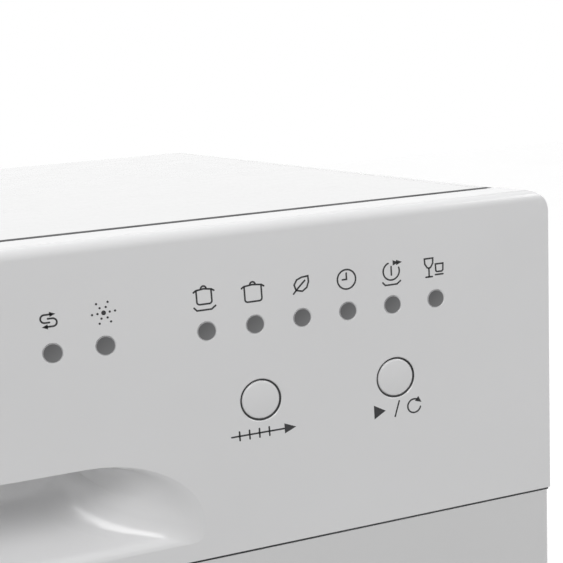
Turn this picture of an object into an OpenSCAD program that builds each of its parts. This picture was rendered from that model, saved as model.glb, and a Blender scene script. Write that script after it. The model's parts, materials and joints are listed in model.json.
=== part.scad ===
// Countertop dishwasher: a free-standing cabinet with a drop-down door, a moulded control
// console with a scooped handle recess, and a wheeled rack that rolls out over the open door.
// The origin is at the middle of the footprint, on the worktop. -Y is the front, +Z is up.

/* [Cabinet] */
// Overall width
body_w = 550; // [520:1:600]
// Overall depth, from the console's face to the back skirt
body_d = 500; // [480:1:540]
// Overall height
body_h = 438; // [430:1:480]
// Height of the cabinet's underside above the worktop
foot_h = 16; // [14:1:22]
// Thickness of the painted sheet
sheet = 1; // [0.8:0.1:1.2]
// Radius of the rolled upper edge of the side panels
shoulder_r = 10; // [6:1:12]
// Distance from the cabinet's side to the edge of the top cover
cover_inset = 12.5; // [12:0.5:18]
// Depth of the skirt behind the back panel
back_skirt = 13; // [12:1:16]
// Diameter of the levelling feet
foot_d = 34; // [26:1:40]
// Thread diameter of the levelling feet
foot_stem_d = 8; // [6:1:10]

/* [Door] */
// Depth of the door from its face to its back edge
door_t = 20; // [20:1:26]
// Gap between the door and the top cover
cover_gap = 2.6; // [1.5:0.1:4]
// Gap between the door and the side panels
side_gap = 0.5; // [0.4:0.1:1]
// Height of the hinge axis
hinge_h = 48; // [46:1:52]
// Hinge pin diameter
hinge_pin_d = 6; // [5:0.5:8]
// How far the inner door reaches into the tub
liner_depth = 25; // [22:1:28]
// Draft of the inner door's walls
liner_draft = 6; // [4:1:8]
// Space round the inner door for the seal
seal_space = 9; // [8:0.5:11]

/* [Console] */
// Height of the console's face
console_h = 112; // [106:1:120]
// Gap between the console and the door panel
seam_gap = 0.8; // [0.5:0.1:1.5]
// Wall of the console moulding
console_wall = 2.5; // [2:0.1:3]
// Radius of the console's upper front edge
console_r = 4; // [3:0.5:6]
// Radius of the console's upper corners at the sides
console_corner_r = 8; // [4:0.5:9]
// Spacing of the indicator lights
led_pitch = 16.5; // [15:0.5:18]
// Diameter of an indicator light
led_d = 6; // [4:0.5:7]
// Indicator lights, from the top of the console
led_drop = 33.6; // [28:0.2:36]
// Last indicator light, from the right side
led_right = 45.2; // [40:0.2:50]
// Push buttons, from the top of the console
button_drop = 59.5; // [56:0.5:62]
// Diameter of a push button
button_d = 13.2; // [11:0.2:15]
// Clearance round a push button
button_gap = 0.4; // [0.3:0.05:0.6]
// Travel of a push button
button_travel = 1.5; // [1:0.1:2]

/* [Handle recess] */
// Width of the handle recess on the face
recess_w = 282; // [240:2:300]
// Upper lip of the handle recess, from the top of the console
recess_drop = 73; // [71:0.5:76]
// Height of the handle recess on the face
recess_h = 32.5; // [28:0.5:33]
// Depth of the handle recess
recess_depth = 28; // [24:1:30]
// Height of the recess's rounded upper corners
recess_r = 25; // [20:1:26]
// How far each end of the recess ramps inwards
recess_ramp = 42; // [24:1:48]
// Height of the rounding along the recess's lower edge
recess_round = 3; // [1:0.5:4]

/* [Tub] */
// Outside width of the tub
tub_w = 456; // [440:1:460]
// Thickness of the stainless tub
tub_wall = 1; // [0.8:0.1:1.2]
// Height of the tub's underside
tub_floor = 64; // [63:0.5:68]
// Space between the tub and the top cover
tub_headroom = 12; // [11:1:16]
// Space between the tub and the back panel
tub_backroom = 23; // [20:1:30]
// Corner radius of the tub
tub_r = 22; // [16:1:28]
// Width of the ledges that the rack's wheels run on
ledge_w = 28; // [24:1:30]
// Radius of the pressed dish round the sump
dish_r = 108; // [104:1:112]
// Depth of the pressed dish
dish_depth = 5; // [4:0.5:6]
// Diameter of the vent through the tub's left wall
vent_d = 30; // [20:1:34]

/* [Water system] */
// Radius of the sump's bowl
sump_r = 88; // [86:1:94]
// Radius of the coarse filter cup
cup_r = 31; // [26:1:32]
// Distance of the filter cup from the spray arm's axis
cup_offset = 50; // [49:1:52]
// Height of the spray arm's underside
arm_h = 84; // [82:0.5:86]
// Reach of the spray arm
arm_r = 192; // [150:1:196]
// Thickness of the spray arm
arm_t = 13; // [10:0.5:14]
// Diameter of the spray arm's bearing
arm_bearing_d = 20; // [16:1:22]
// Diameter of the water inlet's thread
inlet_d = 26.4; // [24:0.1:30]
// Diameter of the drain spigot
drain_d = 19; // [16:0.5:21]
// Diameter of the salt filler neck
salt_d = 44; // [38:1:48]

/* [Rack] */
// Outside width of the rack's basket
rack_w = 408; // [380:2:412]
// Depth of the rack's basket
rack_d = 378; // [340:2:384]
// Height of the rack's side walls
rack_wall_h = 105; // [80:1:120]
// Diameter of the rack's frame wire
frame_wire = 4; // [3.5:0.1:4.5]
// Diameter of the rack's grid wire
grid_wire = 3; // [2.5:0.1:3.5]
// Radius of the rack's wheels
wheel_r = 15; // [13:0.5:16]
// Width of the rack's wheels
wheel_w = 9; // [7:0.5:10]
// Height of the plate tines
tine_h = 78; // [60:1:90]
// Spacing of the plate tines
tine_pitch = 24; // [20:1:30]
// Width of the folding cup shelf
shelf_w = 96; // [80:1:110]
// Length of the folding cup shelf
shelf_l = 250; // [200:5:280]
// Width of the cutlery basket
cutlery_w = 70; // [60:1:74]
// Length of the cutlery basket
cutlery_l = 190; // [150:5:220]

/* [Dispenser] */
// Width of the dispenser
dispenser_w = 150; // [140:1:160]
// Height of the dispenser
dispenser_h = 80; // [76:1:90]
// Width of the detergent lid
lid_w = 78; // [70:1:82]
// Diameter of the rinse aid cap
rinse_d = 30; // [26:1:34]

/* [Hidden] */
$fn = 48;
eps = 0.01;
touch = 0.3;

white = [0.93, 0.93, 0.93];
steel = [0.74, 0.75, 0.76];
grey_plastic = [0.62, 0.63, 0.65];
dark_plastic = [0.2, 0.2, 0.22];
rubber = [0.28, 0.28, 0.3];
rack_grey = [0.66, 0.68, 0.71];

// Main planes
front_y = -body_d / 2;
door_back_y = front_y + door_t;
side_front_y = door_back_y + side_gap;
cover_front_y = door_back_y + cover_gap;
back_y = body_d / 2;
back_panel_y = back_y - back_skirt;
half_w = body_w / 2;
seam_z = body_h - console_h;

// Hinge axis, on the door's back edge
hinge_y = door_back_y - 1;
door_bottom = hinge_h + 0.5;
liner_y = door_back_y + liner_depth;
hinge_x = half_w - 23;

// Tub
tub_half = tub_w / 2;
tub_top = body_h - tub_headroom;
tub_front_y = cover_front_y + 1.5;
tub_back_y = back_panel_y - tub_backroom;
flange_w = 9;
vent_y = 60;
vent_z = tub_floor + 111;
module_gap = 12;
ledge_z = hinge_h + (liner_y - hinge_y) + touch;
inner_floor = tub_floor + tub_wall;
dish_z = inner_floor - dish_depth;

// Inner door
liner_half = tub_half - tub_wall - seal_space;
liner_top = tub_top - tub_wall - seal_space - 16;
liner_bottom = hinge_h + 27;
liner_r = 18;
striker_z = tub_top - 2;
latch_half = 24;
latch_z = striker_z - 22;

// Base tray
tray_half = half_w - sheet - 10;
tray_front_y = side_front_y + 4.5;
tray_back_y = back_panel_y - sheet - 2 * touch;
tray_t = 3;
tray_floor = foot_h + tray_t;
tray_wall_h = 18;
foot_x = half_w - 50;
foot_front = front_y + 55;
foot_back = back_y - 45;
foot_boss_h = 16;

// Spray arm, sump and filter
hub_top = arm_h + arm_t + 3;
cup_y = -cup_offset;
plate_z = dish_z + touch;
plate_t = 1.2;
cup_top = plate_z + plate_t + touch;
sump_floor = tray_floor + 2;

arm_feed_top = dish_z - 6;
jet_y = [6, 10, 11, 8, 2];

// Wash pump and its port on the sump
pump_z = tray_floor + 22.5;
pump_y = 150;
pump_port_x = 20;

// Salt filler
salt_x = -160;
salt_y = -142;

// Connections at the back
inlet_x = -190;
inlet_z = foot_h + 44;
drain_x = 190;
gland_x = 130;
gland_d = 16;

// Rack
wheel_z = ledge_z + touch + wheel_r;
rack_z = arm_h + arm_t + 12;
rack_half = rack_w / 2;
rack_front = liner_y + 10;
rack_back = rack_front + rack_d;
rack_skew = 20;
rack_corner_x = rack_half - frame_wire / 2 - 4;
rim_z = rack_z + rack_wall_h;
wheel_x = tub_half - tub_wall - ledge_w / 2 - 3;
wheel_front_y = side_wire_y(1);
wheel_back_y = side_wire_y(5);
axle_r = 3;

// Cup shelf
shelf_z = rim_z + 12;
shelf_y = rack_front + 60;
shelf_axle_x = -rack_half + frame_wire / 2;

// Dispenser
dispenser_x = 75;
dispenser_z = seam_z + 4 - dispenser_h / 2;
dispenser_y = liner_y + 1;
dispenser_depth = 17;
lid_x = dispenser_x - dispenser_w / 2 + 8 + lid_w / 2;
lid_h = dispenser_h - 18;
lid_hinge_z = dispenser_z - dispenser_h / 2 + 8;
lid_hinge_y = dispenser_y + 2.2;
rinse_x = dispenser_x + dispenser_w / 2 - rinse_d / 2 - 12;
rinse_z = dispenser_z + 8;

// Console rows
led_z = body_h - led_drop;
led_last_x = half_w - led_right;
led_places = [0, 1, 3, 4, 5, 6, 7, 8];
button_z = body_h - button_drop;
program_x = led_last_x - 4 * led_pitch;
start_x = led_last_x - led_pitch;
power_x = -start_x;
lip_z = body_h - recess_drop;
board_y = front_y + console_wall + 10;

function led_x(place) = led_last_x - (8 - place) * led_pitch;
function side_wire_y(i) = rack_front + rack_skew + 16 + i * (rack_d - rack_skew - 32) / 6;

// Prism along X, Y or Z from a flat outline
module along_x(x0, x1) {
    translate([x0, 0, 0]) rotate([90, 0, 90]) linear_extrude(x1 - x0) children();
}

module along_y(y0, y1) {
    translate([0, y1, 0]) rotate([90, 0, 0]) linear_extrude(y1 - y0) children();
}

module along_z(z0, z1) {
    translate([0, 0, z0]) linear_extrude(z1 - z0) children();
}

module block(x, y, z) {
    translate([x[0], y[0], z[0]]) cube([x[1] - x[0], y[1] - y[0], z[1] - z[0]]);
}

// Rectangle between two corners with round corners
module round_rect(x, z, r) {
    square_between([x[0] + r, x[1] - r], z);
    square_between(x, [z[0] + r, z[1] - r]);
    for (cx = [x[0] + r, x[1] - r], cz = [z[0] + r, z[1] - r])
        translate([cx, cz]) circle(r);
}

module square_between(x, z) {
    translate([x[0], z[0]]) square([x[1] - x[0], z[1] - z[0]]);
}

module mirror_pair() {
    children();
    mirror([1, 0, 0]) children();
}

module rod_x(x0, x1, y, z, d, sides = 48) {
    translate([x0, y, z]) rotate([0, 90, 0]) cylinder(h = x1 - x0, d = d, $fn = sides);
}

module rod_y(y0, y1, x, z, d, sides = 48) {
    translate([x, y0, z]) rotate([-90, 0, 0]) cylinder(h = y1 - y0, d = d, $fn = sides);
}

module rod_z(z0, z1, x, y, d, sides = 48) {
    translate([x, y, z0]) cylinder(h = z1 - z0, d = d, $fn = sides);
}

// Wire between two points, with eight sides
module wire(a, b, d) {
    v = b - a;
    l = norm(v);
    translate(a)
        rotate([0, acos(v[2] / l), atan2(v[1], v[0])])
            rotate([0, 0, 22.5]) cylinder(h = l, d = d, $fn = 8);
}

// Wire along a list of points, each length run on to fill its mitre at an inner bend
module wire_path(points, d) {
    last = len(points) - 2;
    for (i = [0 : last]) {
        way = (points[i + 1] - points[i]) / norm(points[i + 1] - points[i]);
        a = points[i] - way * (i > 0 ? bend_fill(points, i, d) : 0);
        b = points[i + 1] + way * (i < last ? bend_fill(points, i + 1, d) : 0);
        wire(a, b, d);
    }
}

// Length that fills the mitre at point i of a path
function bend_fill(points, i, d) =
    let (u = points[i] - points[i - 1], v = points[i + 1] - points[i])
        d / 2 * tan(acos(u * v / (norm(u) * norm(v))) / 2);

// Solid through a list of rings with as many points each, closed by its first and last ring
module loft(rings) {
    n = len(rings[0]);
    points = [for (ring = rings) each ring];
    sides = [for (k = [0 : len(rings) - 2], i = [0 : n - 1])
        each [[k * n + i, k * n + (i + 1) % n, (k + 1) * n + (i + 1) % n],
            [k * n + i, (k + 1) * n + (i + 1) % n, (k + 1) * n + i]]];
    first = [for (i = [n - 1 : -1 : 0]) i];
    last = [for (i = [0 : n - 1]) (len(rings) - 1) * n + i];
    polyhedron(points, concat(sides, [first, last]));
}

// Base and feet
module base_tray() {
    color(dark_plastic) difference() {
        union() {
            difference() {
                along_z(foot_h, foot_h + tray_wall_h)
                    round_rect([-tray_half, tray_half], [tray_front_y, tray_back_y], 8);
                along_z(tray_floor, foot_h + tray_wall_h + 1)
                    round_rect([-tray_half + tray_t, tray_half - tray_t],
                        [tray_front_y + tray_t, tray_back_y - tray_t], 6);
            }
            for (sx = [-1, 1], y = [foot_front, foot_back])
                rod_z(tray_floor - eps, tray_floor + foot_boss_h, sx * foot_x, y, foot_stem_d + 10);
            tray_posts();
            tray_ribs();
        }
        for (sx = [-1, 1], y = [foot_front, foot_back])
            rod_z(foot_h - 1, tray_floor + foot_boss_h + 1, sx * foot_x, y, foot_stem_d + 0.12);
    }
}

// Posts that carry the tub's floor, with round tops
module tray_posts() {
    for (sx = [-1, 1], y = [tub_front_y + 16, tub_back_y - 24])
        difference() {
            rod_z(tray_floor - eps, tub_floor - touch / 2, sx * (tub_half - ledge_w - 22), y, 20);
            rod_z(tray_floor + 4, tub_floor, sx * (tub_half - ledge_w - 22), y, 13);
        }
}

// Stiffening ribs across the floor, clear of the sump, the pumps and the softener
module tray_ribs() {
    for (y = [tub_back_y - 40, tub_front_y + 24])
        block([12 - hinge_x, hinge_x - 12], [y - 1, y + 1], [tray_floor - eps, tray_floor + 1.6]);
    for (x = [-tray_half + 40, tray_half - 40])
        block([x - 1, x + 1], [tray_front_y + 2, tray_back_y - 2], [tray_floor - eps, tray_floor + 1.6]);
}

module kick_plate() {
    color(white) difference() {
        union() {
            along_y(side_front_y + 2, side_front_y + 4)
                square_between([-tray_half, tray_half], [foot_h, hinge_h - 3]);
            block([10 - tray_half, tray_half - 10], [side_front_y + 3, tray_front_y + 4],
                [foot_h + tray_wall_h + touch, foot_h + tray_wall_h + touch + 2]);
        }
        mirror_pair() block([hinge_x - 4, hinge_x + 9], [side_front_y, side_front_y + 30],
            [hinge_h - 9, hinge_h]);
    }
}

module foot(x, y) {
    translate([x, y, 0]) {
        color(rubber) rotate_extrude() polygon([[0, 0], [foot_d / 2 - 2, 0], [foot_d / 2, 2],
            [foot_d / 2, 4], [foot_d / 2 - 4, 6], [0, 6]]);
        color(dark_plastic) {
            translate([0, 0, 6 - eps]) cylinder(h = foot_h - 6 - 0.2, d = foot_stem_d + 12, $fn = 6);
            translate([0, 0, foot_h - 1]) cylinder(h = tray_t + foot_boss_h - 2, d = foot_stem_d);
        }
    }
}

module foot_front_left() { foot(-foot_x, foot_front); }

module foot_front_right() { foot(foot_x, foot_front); }

module foot_back_left() { foot(-foot_x, foot_back); }

module foot_back_right() { foot(foot_x, foot_back); }

// Cabinet skin
module side_panel() {
    flat_x = half_w - cover_inset + 0.2;
    step = 1.2;
    color(white) difference() {
        union() {
            along_y(side_front_y, back_y) side_section(flat_x, step);
            along_y(side_front_y, side_front_y + sheet)
                square_between([half_w - 14, half_w - sheet / 2], [foot_h + 2, body_h - shoulder_r]);
            along_y(back_panel_y - sheet - touch, back_panel_y - touch)
                square_between([half_w - 16, half_w - sheet / 2], [foot_h + 2, body_h - shoulder_r]);
        }
        block([flat_x - 20, half_w - sheet - 9], [side_front_y - 1, cover_front_y],
            [body_h - 30, body_h - sheet - 0.5]);
    }
}

// Side wall, rolled shoulder and the stepped flange that carries the top cover
module side_section(flat_x, step) {
    r = shoulder_r;
    square_between([half_w - sheet, half_w], [foot_h + 2, body_h - r]);
    square_between([tray_half + touch, half_w - sheet / 2], [foot_h + 2, foot_h + 2 + sheet]);
    difference() {
        translate([half_w - r, body_h - r]) circle(r);
        translate([half_w - r, body_h - r]) circle(r - sheet);
        square_between([half_w - 2 * r - 1, half_w - r], [body_h - 3 * r, body_h + 1]);
        square_between([half_w - 2 * r - 1, half_w + 1], [body_h - 3 * r, body_h - r]);
    }
    square_between([flat_x, half_w - r + eps], [body_h - sheet, body_h]);
    square_between([flat_x, flat_x + sheet], [body_h - 2 * sheet - step, body_h]);
    square_between([flat_x - 9, flat_x + sheet], [body_h - 2 * sheet - step, body_h - sheet - step]);
}

module side_panel_left() { mirror([1, 0, 0]) side_panel(); }

module side_panel_right() { side_panel(); }

module top_cover() {
    edge_x = half_w - cover_inset;
    color(white) {
        along_y(cover_front_y, back_y) square_between([-edge_x, edge_x], [body_h - sheet, body_h]);
        along_y(cover_front_y, cover_front_y + sheet)
            square_between([-edge_x + 14, edge_x - 14], [tub_top + 6, body_h - eps]);
        along_y(back_y - sheet, back_y)
            square_between([-edge_x + 14, edge_x - 14], [body_h - 14, body_h - eps]);
    }
}

module back_panel() {
    w = half_w - 4;
    color(white) difference() {
        along_y(back_panel_y, back_panel_y + sheet)
            square_between([-w, w], [foot_h + 4, body_h - 2 * sheet - 3]);
        rod_y(back_panel_y - 1, back_panel_y + 2, inlet_x, inlet_z, inlet_d + 14);
        rod_y(back_panel_y - 1, back_panel_y + 2, drain_x, inlet_z, drain_d + 14);
        rod_y(back_panel_y - 1, back_panel_y + 2, gland_x, inlet_z, gland_d);
        for (i = [0 : 7], sx = [-1, 1])
            along_y(back_panel_y - 1, back_panel_y + 2)
                round_rect([sx * 110 - 42, sx * 110 + 42], [150 + 12 * i, 155 + 12 * i], 2.4);
    }
}

module panel_screws() {
    color(steel) for (sx = [-1, 1], z = [foot_h + 24, body_h / 2, body_h - 30])
        pan_head(sx * (half_w - 10), z);
    color(steel) for (x = [-120, 0, 120]) pan_head(x, body_h - 22);
}

module pan_head(x, z) {
    rod_y(back_panel_y + sheet, back_panel_y + sheet + 2.4, x, z, 8);
}

// Tub and front frame
module tub_section(inset) {
    difference() {
        round_rect([-tub_half + inset, tub_half - inset], [tub_floor + inset, tub_top - inset],
            tub_r - inset);
        for (sx = [-1, 1])
            translate([sx * (tub_half - ledge_w / 2), ledge_z - tub_wall + inset - 20])
                square([ledge_w + 2 * tub_wall - 2 * inset, 40], center = true);
    }
}

module tub() {
    color(steel) difference() {
        union() {
            along_y(tub_front_y, tub_back_y) tub_section(0);
            along_y(tub_front_y, tub_front_y + tub_wall)
                round_rect([-tub_half - flange_w, tub_half + flange_w],
                    [tub_floor - flange_w, tub_top + flange_w], tub_r);
            translate([0, 0, dish_z - tub_wall])
                cylinder(h = dish_depth + eps, r1 = dish_r - 6 + tub_wall, r2 = dish_r + tub_wall);
        }
        along_y(tub_front_y - 1, tub_back_y - tub_wall) tub_section(tub_wall);
        translate([0, 0, dish_z]) cylinder(h = dish_depth + 1, r1 = dish_r - 6, r2 = dish_r);
        rod_x(-tub_half - 1, -tub_half + 2 * tub_wall, vent_y, vent_z, vent_d + 1);
        rod_z(dish_z - 5, inner_floor, 0, 0, 2 * (sump_r - 4));
        rod_z(tub_floor - 1, inner_floor + 1, salt_x, salt_y, salt_d + 1);
    }
}

module front_frame() {
    color(white) difference() {
        along_y(tub_front_y - 1.5, tub_front_y)
            square_between([-half_w + 15, half_w - 15], [hinge_h + 4, tub_top + 5]);
        along_y(tub_front_y - 3, tub_front_y + 1)
            round_rect([-tub_half + tub_wall, tub_half - tub_wall],
                [tub_floor + tub_wall, tub_top - tub_wall], tub_r - tub_wall);
        mirror_pair() block([hinge_x - 1, hinge_x + 12], [tub_front_y - 3, tub_front_y + 1],
            [0, hinge_h + 12]);
    }
}

// Seal round the top and sides of the tub's mouth: a base strip and a lip towards the door
module tub_seal() {
    lip_t = 3;
    base_t = 4;
    lip_y = tub_front_y + 1;
    color(rubber) difference() {
        union() {
            along_y(lip_y, lip_y + lip_t) seal_outline(touch);
            along_y(lip_y + lip_t - eps, lip_y + 9) difference() {
                seal_outline(touch);
                seal_outline(base_t);
            }
        }
        hull() {
            along_y(lip_y - 3, lip_y - 2) liner_outline(lip_y - 2, 0.5);
            along_y(lip_y + lip_t + 1, lip_y + lip_t + 2) liner_outline(lip_y + lip_t + 1, 0.5);
        }
        block([-liner_half - touch, liner_half + touch], [lip_y - 1, lip_y + 10],
            [tub_floor, tub_floor + 80]);
    }
}

// Inside of the tub's mouth, above its ledges
module seal_outline(inset) {
    t = tub_wall + inset;
    intersection() {
        round_rect([-tub_half + t, tub_half - t], [tub_floor + t, tub_top - t], tub_r - t);
        square_between([-tub_half, tub_half], [ledge_z + 1, tub_top]);
    }
}

// Outline of the inner door's raised part at the depth y, grown by a margin
module liner_outline(y, margin) {
    in = liner_draft * (y - door_back_y) / liner_depth - margin;
    round_rect([-liner_half + in, liner_half - in], [liner_bottom + in, liner_top + 16 - in], liner_r);
}

module door_striker() {
    color(steel) {
        block([-7, 7], [front_y + 9, tub_front_y - 1.5], [striker_z - 1.5, striker_z + 1.5]);
        block([-7, 7], [front_y + 9, front_y + 11], [striker_z - 1.5, striker_z + 4]);
        block([-14, 14], [tub_front_y - 3, tub_front_y - 1.5], [striker_z - 6, striker_z + 3]);
    }
}

// Hinges
module hinge_bracket() {
    x0 = hinge_x + 4;
    color(steel) {
        along_x(x0, x0 + 3) difference() {
            union() {
                translate([hinge_y, hinge_h]) circle(d = hinge_pin_d + 8);
                square_between([hinge_y, hinge_y + 60], [hinge_h - 7, hinge_h + 5]);
                square_between([hinge_y + 22, hinge_y + 60], [tray_floor, hinge_h + 5]);
            }
            translate([hinge_y + 50, hinge_h - 12]) circle(4);
        }
        rod_x(hinge_x - 1.5, x0 + eps, hinge_y, hinge_h, hinge_pin_d);
        rod_x(hinge_x - 3, hinge_x - 1.4, hinge_y, hinge_h, hinge_pin_d + 4);
        block([x0 - 9, x0 + 3], [hinge_y + 22, hinge_y + 60], [tray_floor, tray_floor + 3]);
    }
}

module hinge_bracket_left() { mirror([1, 0, 0]) hinge_bracket(); }

module hinge_bracket_right() { hinge_bracket(); }

module hinge_arm() {
    color(steel) difference() {
        union() {
            along_x(hinge_x, hinge_x + 3) {
                translate([hinge_y, hinge_h]) circle(d = hinge_pin_d + 7);
                square_between([hinge_y - 12, hinge_y - 0.8], [hinge_h, hinge_h + 70]);
            }
            block([hinge_x - 12, hinge_x + 3], [hinge_y - 3.4, hinge_y - 0.8], [hinge_h + 14, hinge_h + 70]);
        }
        rod_x(hinge_x - 1, hinge_x + 4, hinge_y, hinge_h, hinge_pin_d + 0.12);
    }
}

module hinge_arm_left() { mirror([1, 0, 0]) hinge_arm(); }

module hinge_arm_right() { hinge_arm(); }

// Water system
module sump() {
    rim_z0 = dish_z - tub_wall - 3;
    wall = 2.5;
    color(grey_plastic) difference() {
        union() {
            rod_z(rim_z0, dish_z - tub_wall, 0, 0, 2 * (dish_r - 8), 64);
            translate([0, 0, sump_floor])
                cylinder(h = rim_z0 - sump_floor + eps, r1 = sump_r - 4, r2 = sump_r);
            rod_y(sump_r - 20, pump_y - 22, pump_port_x, pump_z, 26);
            rod_x(-sump_r - 22, -sump_r + 20, 30, pump_z, 22);
            sump_feet();
        }
        difference() {
            translate([0, 0, sump_floor + wall])
                cylinder(h = 60, r1 = sump_r - 4 - wall, r2 = sump_r + 2);
            rod_z(sump_floor, arm_feed_top, 0, 0, arm_bearing_d + 8);
        }
        rod_z(sump_floor + wall, arm_feed_top + 1, 0, 0, arm_bearing_d + 2);
        rod_y(sump_r - 30, pump_y, pump_port_x, pump_z, 21);
        rod_x(-sump_r - 30, -sump_r + 30, 30, pump_z, 17);
    }
}

module sump_feet() {
    for (a = [45, 135, 225, 315])
        rotate([0, 0, a]) rod_z(tray_floor, sump_floor + 6, sump_r - 24, 0, 14);
}

module filter_plate() {
    color(steel) difference() {
        union() {
            rod_z(plate_z, plate_z + plate_t, 0, 0, 2 * (dish_r - 8.5), 96);
            rod_z(plate_z, plate_z + 3, 0, 0, arm_bearing_d + 11.6);
            translate([0, cup_y, plate_z]) cylinder(h = plate_t + 0.1, r = cup_r + 3);
        }
        rod_z(plate_z - 1, plate_z + 8, 0, 0, arm_bearing_d + 8.6);
        rod_z(plate_z - 1, plate_z + 8, 0, cup_y, 2 * cup_r + 1);
        for (ring = [0 : 2], i = [0 : 23])
            if (abs(i * 15 - 270) > 36)
                rotate([0, 0, i * 15])
                    block([48 + 16 * ring, 58 + 16 * ring], [-1, 1], [plate_z - 1, plate_z + 8]);
    }
}

// Coarse filter cup with slotted walls and a bar to turn it by
module filter_cup() {
    bottom = sump_floor + 6;
    color(grey_plastic) translate([0, cup_y, 0]) {
        difference() {
            union() {
                rod_z(bottom, cup_top + 1, 0, 0, 2 * cup_r);
                rod_z(cup_top + 0.1, cup_top + 2.5, 0, 0, 2 * cup_r + 5);
            }
            rod_z(bottom + 2, cup_top + 8, 0, 0, 2 * cup_r - 4);
            for (i = [0 : 17], z = [bottom + 6, bottom + 20])
                rotate([0, 0, i * 20]) block([cup_r - 6, cup_r + 2], [-1.1, 1.1], [z, z + 9]);
        }
        intersection() {
            rod_z(cup_top - 3, cup_top + 13, 0, 0, 2 * cup_r - 3);
            along_y(-2.5, 2.5) round_rect([-cup_r - 5, cup_r + 5], [cup_top - 12, cup_top + 11], 9);
        }
    }
}

module spray_hub() {
    d = arm_bearing_d;
    color(grey_plastic) difference() {
        union() {
            rod_z(arm_feed_top - 10, plate_z + 6, 0, 0, d + 1.6);
            rod_z(plate_z + 3 + touch, arm_h - 0.6, 0, 0, d + 10);
            rod_z(arm_h - 1, hub_top, 0, 0, d);
            rod_z(hub_top - eps, hub_top + 1, 0, 0, d + 8);
            translate([0, 0, hub_top + 1]) cylinder(h = 4, d1 = d + 8, d2 = d - 2);
        }
        rod_z(arm_feed_top - 11, hub_top - 2, 0, 0, d - 5);
        for (a = [0 : 60 : 300])
            rotate([0, 0, a]) block([d / 2 - 5, d / 2 + 1], [-2.5, 2.5], [arm_h + 4, arm_h + arm_t - 4]);
    }
}

// Two tapered, slightly swept blades with slotted jets on top
module spray_arm() {
    d = arm_bearing_d;
    color(grey_plastic) difference() {
        union() {
            rod_z(arm_h, hub_top - 0.4, 0, 0, d + 12);
            for (side = [0, 180]) rotate([0, 0, side]) {
                hull() {
                    blade_station(12, 0, 17, arm_t);
                    blade_station(arm_r * 0.55, 9, 15, arm_t - 1);
                }
                hull() {
                    blade_station(arm_r * 0.55, 9, 15, arm_t - 1);
                    blade_station(arm_r - 10, 0, 10, arm_t - 4);
                }
            }
        }
        rod_z(arm_h - 1, hub_top + 1, 0, 0, d + 0.16);
        for (side = [0, 180], i = [0 : 4])
            rotate([0, 0, side])
                translate([40 + i * (arm_r - 58) / 4, jet_y[i], arm_h + arm_t - 5])
                    rotate([0, 0, 30 * i]) block([-4, 4], [-1, 1], [0, 10]);
    }
}

module blade_station(x, y, r, t) {
    translate([x, y, arm_h]) {
        translate([0, 0, t * 0.3]) cylinder(h = t * 0.3, r = r, $fn = 32);
        cylinder(h = t, r = r - 4, $fn = 32);
    }
}

// Motor lying along X with its volute over the sump's port
module wash_pump() {
    color(dark_plastic) {
        rod_y(pump_y - 22 + touch, pump_y + 2, pump_port_x, pump_z, 26);
        difference() {
            rod_x(pump_port_x - 15, pump_port_x + 18, pump_y + 2, pump_z, 42);
            rod_x(pump_port_x - 16, pump_port_x - 12, pump_y + 2, pump_z, 30);
        }
        rod_x(pump_port_x + 17, pump_port_x + 80, pump_y + 2, pump_z, 38);
        for (i = [0 : 5])
            rod_x(pump_port_x + 26 + 9 * i, pump_port_x + 30 + 9 * i, pump_y + 2, pump_z, 41);
        rod_x(pump_port_x - 56, pump_port_x - 14, pump_y + 10, pump_z, 20);
        for (x = [pump_port_x + 2, pump_port_x + 68])
            block([x - 4, x + 4], [pump_y - 10, pump_y + 14], [tray_floor, pump_z - 16]);
    }
}

// Flow-through heater between the wash pump and the spray arm's feed
module water_heater() {
    x0 = pump_port_x - 56 - touch;
    color(steel) {
        rod_x(x0 - 78, x0, pump_y + 10, pump_z, 30);
        rod_x(x0 - 88, x0 - 70, pump_y + 10, pump_z, 20);
        for (x = [x0 - 60, x0 - 16])
            block([x - 3, x + 3], [pump_y - 2, pump_y + 22], [tray_floor, pump_z - 8]);
    }
}

module drain_pump() {
    x1 = -sump_r - 22 - touch;
    color(dark_plastic) {
        rod_x(x1 - 24, x1, 30, pump_z, 36);
        rod_x(x1 - 70, x1 - 23, 30, pump_z, 32);
        rod_y(30, 72, x1 - 12, pump_z, 16);
        for (x = [x1 - 12, x1 - 58])
            block([x - 3, x + 3], [18, 42], [tray_floor, pump_z - 12]);
    }
}

module softener() {
    color(grey_plastic) {
        difference() {
            union() {
                along_z(tray_floor, tub_floor - 10)
                    round_rect([salt_x - 38, salt_x + 38], [salt_y - 46, salt_y + 56], 10);
                rod_z(tub_floor - 11, inner_floor + 2, salt_x, salt_y, salt_d);
                rod_z(tub_floor - 10.5, tub_floor - touch, salt_x, salt_y, salt_d + 10);
            }
            rod_z(tray_floor + 6, inner_floor + 3, salt_x, salt_y, salt_d - 6);
        }
    }
}

module salt_cap() {
    z0 = inner_floor + 2 + touch;
    color([0.86, 0.87, 0.89]) translate([salt_x, salt_y, 0]) {
        difference() {
            rod_z(z0, z0 + 7, 0, 0, salt_d + 8);
            for (i = [0 : 17])
                rotate([0, 0, i * 20]) rod_z(z0 + 1, z0 + 8, salt_d / 2 + 5.5, 0, 5, 24);
        }
        rod_z(z0 - 10, z0 + 1, 0, 0, salt_d - 7);
        along_y(-3, 3) round_rect([-salt_d / 2 + 4, salt_d / 2 - 4], [z0 + 1, z0 + 12], 4);
    }
}

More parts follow.
